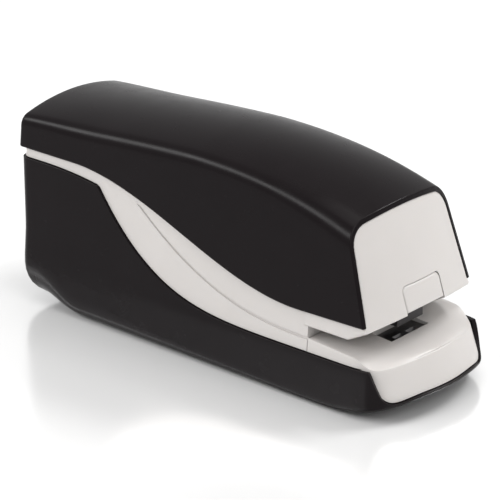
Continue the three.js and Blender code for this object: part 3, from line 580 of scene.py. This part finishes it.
SLOT_MATERIAL = {
    "black_shell": "black", "white_shell": "white", "bright_steel": "steel", "dark_steel": "dark_steel",
    "chrome": "chrome", "brass": "brass", "nylon": "nylon", "acetal": "acetal", "rubber": "rubber",
    "board": "board", "cell_skin": "cell",
}
# the magazine channel gets the near-black steel, painted shade as dark as the shaded passage it sits in
NODE_MATERIAL = {"staple_strip": "strip", "magazine_channel": "painted_shade_steel"}


def dress_nodes():
    """Gives each CAD node the material of its slot, or its own."""
    for part in RECORD["subparts"]:
        held = NODES[part["node"]].data.materials
        chosen = NODE_MATERIAL.get(part["node"], SLOT_MATERIAL[part["material_slot"]])
        held.clear()
        held.append(MATERIALS[chosen])


dress_nodes()

# ---------------------------------------------------------------- upper cover


def cover_skin(inset):
    """Sections of the cover: upright from the rear to TURN_X, then turning to meet the head's front."""
    r = max(COVER_CORNER_R - inset, COVER_LEAST_R)
    corner = [REAR + inset + r * (1 - math.cos(a)) for a in steps(0, math.pi / 2, 9)]
    rows = []
    for x in corner + steps(corner[-1], TURN_X, 9)[1:]:
        rows.append([(x, *cover_point(x, inset, k)) for k in range(SECTION_N + 1)])
    for f in steps(0, 1, 60)[1:]:
        row = [to_face(lambda x, k=k: cover_point(x, inset, k), TURN_X, f) for k in range(SECTION_N + 1)]
        rows.append(row)
    return rows


def to_middle(row):
    """A flat patch from a row of points to the middle line."""
    return [[(x, y * (1 - t), z) for x, y, z in row] for t in steps(0, 1, 10)]


def upper_cover():
    outer, inner = cover_skin(0), cover_skin(WALL)
    outer_back, inner_back = to_middle(outer[0]), to_middle(inner[0])
    half = [
        outer, inner, outer_back, inner_back,
        [outer[-1], inner[-1]], ends(outer, inner, 0), ends(outer_back, inner_back, 0),
    ]
    piece = build("upper_cover_shell", "stapler_body", mirrored(half), "black")
    soften(piece, 0.35)
    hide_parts("upper_cover")


upper_cover()

# ---------------------------------------------------------------- white housing: band, head and throat wall

# places along the base's plan outline
NOSE_U = steps(0, 1, 44)
SIDE_U = steps(1, 2, 80)[1:]
BACK_U = steps(2, 3, 8)[1:] + steps(3, 4, 8)[1:]


def band_profile(u):
    """Outer and inner (inset, height) pairs of the band, with lips that run behind the black shells."""
    x = station_x(u)
    low, high = casing_edge(x) + GAP, cover_edge(x) - GAP
    grooved = low + GROOVE_TO_EDGE < groove_height(x) < high - GROOVE_TO_EDGE
    middle = groove_height(x) if grooved else (low + high) / 2
    depth = GROOVE_DEPTH * smooth(share(x, GROOVE_FADE_X)) if grooved else 0
    outer = [(LINER_INSET, low - BAND_LIP), (LINER_INSET, low), (BAND_INSET, low)]
    outer += [(BAND_INSET, z) for z in steps(low, middle - GROOVE_MARGIN, 5)[1:]]
    outer += [
        (BAND_INSET, middle - GROOVE_HALF), (BAND_INSET + depth, middle - GROOVE_FLOOR_HALF),
        (BAND_INSET + depth, middle + GROOVE_FLOOR_HALF), (BAND_INSET, middle + GROOVE_HALF),
    ]
    outer += [(BAND_INSET, z) for z in steps(middle + GROOVE_MARGIN, high, 8)]
    outer += [(LINER_INSET, high), (LINER_INSET, high + BAND_LIP)]
    heights = steps(low - BAND_LIP, high + BAND_LIP, len(outer) - 1)
    return outer, [(LINER_INSET + BAND_WALL, z) for z in heights]


def housing_band():
    start = next(u for u in steps(1, 2, 400) if station_x(u) <= THROAT_BACK_X)
    profiles = [(u, *band_profile(u)) for u in steps(start, 2, 90) + BACK_U]
    outer = [[(*outline(u, z, inset), z) for inset, z in profile] for u, profile, _ in profiles]
    inner = [[(*outline(u, z, inset), z) for inset, z in profile] for u, _, profile in profiles]
    for rows in (outer, inner):
        rows[0] = [(THROAT_BACK_X, y, z) for _, y, z in rows[0]]
    half = [outer, inner, [outer[0], inner[0]], ends(outer, inner, 0), ends(outer, inner, -1)]
    band = build("housing_band", "stapler_body", mirrored(half), "white")
    soften(band, 0.12, 2)


def head_outline(x, extra, skin):
    """Half outline of the head's section, from the middle of its underside to the middle of its top."""
    low = HEAD_LOW_Z + LEAD_IN_SLOPE * max(x - LEAD_IN_X, 0) + skin["floor"] + extra
    skirt = skin["skirt"] + extra
    edge = max(cover_edge(x) - GAP, low + HEAD_LEAST_SIDE)
    r = HEAD_LOW_R
    points = [(y, low) for y in steps(0, cover_side(low, skirt) - r, 14)]
    for a in quarter(4):
        y = cover_side(low + r, skirt) - r * (1 - math.sin(a))
        points.append((y, low + r * (1 - math.cos(a))))
    points += [(cover_side(z, skirt), z) for z in steps(low + r, edge, 4)[1:]]
    for k in range(SECTION_N + 1):
        points.append(cover_point(x, skin["top"] + extra, k, lambda _: edge + HEAD_TOP_STEP))
    return points


def head_skin(skin):
    """The head's wall from the throat to its front, with a rounded rim, and the front itself."""
    r = FACE_EDGE_R
    stages = [(f, r, 0) for f in steps(0, 1, 30)]
    stages += [(1, r * (1 - math.sin(a)), r * (1 - math.cos(a))) for a in quarter(4)]
    count = len(head_outline(THROAT_X, 0, skin))
    rows = []
    for f, back, extra in stages:
        recess = skin["front"] + back
        row = []
        for k in range(count):
            row.append(to_face(lambda x, k=k: head_outline(x, extra, skin)[k], HEAD_START_X, f, recess))
        rows.append(row)
    front = [
        [face_point(y, z, HEAD_CENTRE_Z, k, skin["front"]) for _, y, z in rows[-1]]
        for k in steps(1, 0, 16)
    ]
    return rows, front


def button_outline(grow, low):
    """Outline of the button, grown on all sides but its lower edge, which lies at low."""
    half, high, r = BUTTON_HALF + grow, BUTTON_HIGH[2] + grow, BUTTON_CORNER_R
    side = [(half, low), (half, lerp(low, high - r, 0.5)), (half, high - r)]
    side += [(half - r * (1 - math.cos(a)), high - r * (1 - math.sin(a))) for a in quarter(8)]
    side += [(half * 0.4, high), (0, high)]
    return side + [(-y, z) for y, z in side[-2::-1]]


def housing_head():
    (outer, front), (inner, inner_front) = head_skin(HEAD_OUTSIDE), head_skin(HEAD_INSIDE)
    half = [outer, inner, front, inner_front, [outer[0], inner[0]]]
    head = build("housing_head", "stapler_body", mirrored(half), "white")
    carve(head, [
        prism(button_outline(GAP, NOTCH_LOW_Z), NOTCH_X),
        opening("magazine_channel", PASSAGE_ROOM, x=PASSAGE_X, z=PASSAGE_Z),
        opening("paper_trigger", TRIGGER_ROOM, x=TRIGGER_SLOT_X, z=TRIGGER_SLOT_Z),
    ])
    soften(head, 0.3)
    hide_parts("main_housing")


def throat_wall():
    back = build("housing_throat_wall", "stapler_body", block(*THROAT_WALL), "white")
    carve(back, [
        opening("paper_trigger", TRIGGER_ROOM, x=TRIGGER_SLOT_X, z=TRIGGER_SLOT_Z),
        opening("magazine_channel", PASSAGE_ROOM, x=PASSAGE_X, z=PASSAGE_Z),
    ])
    soften(back, 0.2)


housing_head()
housing_band()
throat_wall()

# ---------------------------------------------------------------- release button


def release_button():
    r, recess = BUTTON_EDGE_R, BUTTON_RECESS

    def ring(k, depth, shrink=0.0):
        points = button_outline(-shrink, BUTTON_LOW[2] + shrink)
        return [face_point(y, z, BUTTON_CENTRE_Z, k, depth) for y, z in [*points, points[0]]]

    rows = [ring(k, recess, r) for k in steps(0, 1, 8)]
    rows += [ring(1, recess + r * (1 - math.cos(a)), r * (1 - math.sin(a))) for a in quarter(5)]
    rows += [ring(1, depth) for depth in BUTTON_DEPTHS]
    rows += [ring(k, BUTTON_DEPTHS[-1]) for k in (0.6, 0.0)]
    piece = build("release_button_cap", "button", [rows], "white")
    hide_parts("release_button")


release_button()

# ---------------------------------------------------------------- lower casing


def casing_skin(inset):
    """The casing's wall with its rounded lower edge, and the floor that joins it to the middle line."""
    rows, floor_rows = [], []
    for u in NOSE_U + SIDE_U + BACK_U:
        x = station_x(u)
        edge = casing_edge(x)
        floor_z = min(underside(x) + inset, edge - LEAST_SIDE)
        r = lerp(*BOTTOM_R, clamp(share(x, BOTTOM_R_X)))
        r = REAR_BOTTOM_R if u >= 2 else lerp(r, REAR_BOTTOM_R, smooth(share(x, REAR_BOTTOM_X)))
        r = max(min(r - inset, edge - floor_z - BOTTOM_R_ROOM), BOTTOM_LEAST_R)
        row = [(*outline(u, z, inset), z) for z in steps(edge, floor_z + r, 12)]
        for a in quarter(8):
            z = floor_z + r * (1 - math.sin(a))
            row.append((*outline(u, z, inset + r * (1 - math.cos(a))), z))
        rows.append(row)
        if u <= 3:
            x, y, z = row[-1]
            floor_rows.append([(x, y * (1 - t), z) for t in steps(0, 1, 8)])
    return rows, floor_rows


def node_centre(name):
    low, high = cad_box(name)
    return [(a + b) / 2 for a, b in zip(low, high)]


def lower_casing():
    (outer, outer_floor), (inner, inner_floor) = casing_skin(0), casing_skin(WALL)
    half = [outer, inner, outer_floor, inner_floor, ends(outer, inner, 0)]
    piece = build("lower_casing_shell", "stapler_body", mirrored(half), "black")
    cuts = [opening("battery_door", GAP, z=DOOR_OPENING_Z)]
    for end in ("rear", "front"):
        for side in ("right", "left"):
            x, y, _ = node_centre(f"screw_{end}_{side}")
            cuts.append(prism(circle(x, y, HOLE_R), SCREW_HOLE_Z, along_z))
    _, y, z = node_centre("power_jack")
    cuts.append(prism(circle(y, z, HOLE_R), JACK_HOLE_X))
    carve(piece, cuts)
    soften(piece, 0.25)
    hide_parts("lower_casing")


lower_casing()

# ---------------------------------------------------------------- cover of the lower jaw


def jaw_skin(inset, drop):
    """The jaw's skirt and plate, set in by inset and lowered by drop."""
    lip_inset = max(inset, LINER_INSET)
    lip_room = INNER_LIP_ROOM if inset > LINER_INSET else LIP_ROOM
    r = JAW_EDGE_R
    rows = []
    for u in NOSE_U + steps(1, 2, 24)[1:]:
        def at(z, inward):
            return (*outline(u, z, inward, NOSE_RAKE, THROAT_X), z)

        station = outline(u, UPRIGHT_Z, 0, 0, THROAT_X)[0]
        low = casing_edge(station) + GAP
        x, y, _ = at(UPRIGHT_Z, inset)
        for _ in range(4):
            x, y, _ = at(crease_height(x, y) - drop, inset)
        top = max(crease_height(x, y) - drop, low + LEAST_SIDE)
        lip_z = min(max(low - JAW_LIP, underside(station) + lip_room), low - JAW_LEAST_LIP)
        row = [at(lip_z, lip_inset), at(low, lip_inset)]
        row += [at(z, inset) for z in steps(low, top - r, 8)]
        row += [at(top - r * (1 - math.sin(a)), inset + r * (1 - math.cos(a))) for a in quarter(5)]
        x, y, z = row[-1]
        middle = jaw_top(x) - drop if y > 1e-6 else z
        row += [(x, y * (1 - t), lerp(middle, z, (1 - t) ** 3)) for t in steps(0, 1, 14)[1:]]
        rows.append(row)
    return rows


def jaw_cover():
    outer, inner = jaw_skin(BAND_INSET, 0), jaw_skin(JAW_INSIDE_INSET, JAW_THICKNESS)
    half = [outer, inner, [outer[-1], inner[-1]], ends(outer, inner, 0)]
    piece = build("jaw_cover", "stapler_body", mirrored(half), "white")
    carve(piece, [block(*ANVIL_OPENING)])
    soften(piece, 0.25)
    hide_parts("base_cover")


jaw_cover()

# ---------------------------------------------------------------- spring behind the staples


def pusher_spring():
    """A close coil round the guide rod, built at one length and carried by the magazine; the real spring
    shortens towards its rear end as the pusher goes back.
    """
    low, high = (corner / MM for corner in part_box("pusher_spring"))
    rod_z = (low.z + high.z) / 2
    start, end = low.x + SPRING_WIRE_R, high.x - SPRING_WIRE_R
    sides, turn_steps = 8, 20
    rings = []
    for t in steps(0, 1, SPRING_TURNS * turn_steps):
        turn = 2 * math.pi * SPRING_TURNS * t
        out = Vector((0, math.cos(turn), math.sin(turn)))
        centre = Vector((lerp(start, end, t), 0, rod_z)) + SPRING_R * out
        rings.append([
            tuple(centre + SPRING_WIRE_R * (out * math.cos(a) + Vector((math.sin(a), 0, 0))))
            for a in steps(0, 2 * math.pi, sides)
        ])
    caps = [[ring, [tuple(sum((Vector(p) for p in ring[:-1]), Vector()) / sides)] * len(ring)]
            for ring in (rings[0], rings[-1])]
    piece = build("pusher_spring_coil", "magazine", [rings, *caps], "steel")
    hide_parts("pusher_spring")
    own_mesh(piece)


pusher_spring()

# ---------------------------------------------------------------- edges of the CAD nodes that stay

for name, obj in NODES.items():
    if not obj.hide_render and name not in ("lever_spring", "staple_strip"):
        soften(obj, 0.15, 2, 35)

# ---------------------------------------------------------------- stage, in metres

FLOOR_REACH = 6.0
LENS_MM, SENSOR_MM = 216, 36
CAMERA_AT, CAMERA_TOWARDS = (0.6423, -0.7538, 0.446), (-0.59958, 0.70201, -0.3843)


def placed(name, data, at, towards):
    """A lamp or camera at a place, turned to look in a direction."""
    piece = bpy.data.objects.new(name, data)
    bpy.context.scene.collection.objects.link(piece)
    piece.location = at
    piece.rotation_mode = "QUATERNION"
    piece.rotation_quaternion = Vector(towards).to_track_quat("-Z", "Y")
    return piece


def floor():
    corners = [(x * FLOOR_REACH, y * FLOOR_REACH, 0) for x, y in ((-1, -1), (1, -1), (1, 1), (-1, 1))]
    mesh = bpy.data.meshes.new("floor")
    mesh.from_pydata(corners, [], [(0, 1, 2, 3)])
    piece = bpy.data.objects.new("floor", mesh)
    bpy.context.scene.collection.objects.link(piece)
    material, tree, surface = shader("floor_paint")
    tint(tree, surface, noise(tree, 3, 2), (0.88, 0.88, 0.88), (0.9, 0.9, 0.9))
    gloss(tree, surface, 30, 2, (0.17, 0.2))
    surface.inputs["IOR"].default_value = 2.0
    surface.inputs["Metallic"].default_value = 0.3
    surface.inputs["Specular IOR Level"].default_value = 1.0
    mesh.materials.append(material)


def lamp(name, at, aim, size, power, colour=(1, 1, 1)):
    light = bpy.data.lights.new(name, "AREA")
    light.shape = "RECTANGLE"
    light.size, light.size_y = size
    light.energy = power
    light.color = colour
    placed(name, light, at, Vector(aim) - Vector(at))


def surroundings():
    world = bpy.data.worlds.new("studio")
    world.use_nodes = True
    back = world.node_tree.nodes["Background"]
    back.inputs["Color"].default_value = (1, 1, 1, 1)
    back.inputs["Strength"].default_value = 0.72
    bpy.context.scene.world = world
    lamp("overhead", (0.1, 0.0, 1.1), (0, 0, 0), (0.9, 0.7), 4, (1, 0.985, 0.97))
    lamp("front", (0.85, -0.2, 0.65), (0.03, 0, 0.04), (0.7, 0.6), 4.2)
    lamp("edge", (-0.54, -0.71, 0.63), (0, -0.02, 0.06), (1.0, 0.24), 8)
    lamp("rim", (0.33, 0.66, 0.85), (0.07, 0, 0.05), (0.45, 0.16), 7)


def camera():
    data = bpy.data.cameras.new("camera")
    data.sensor_width = SENSOR_MM
    data.lens = LENS_MM
    data.clip_start = 0.01
    data.clip_end = 50
    bpy.context.scene.camera = placed("camera", data, CAMERA_AT, CAMERA_TOWARDS)


floor()
surroundings()
camera()
bpy.context.scene.view_settings.view_transform = "Standard"
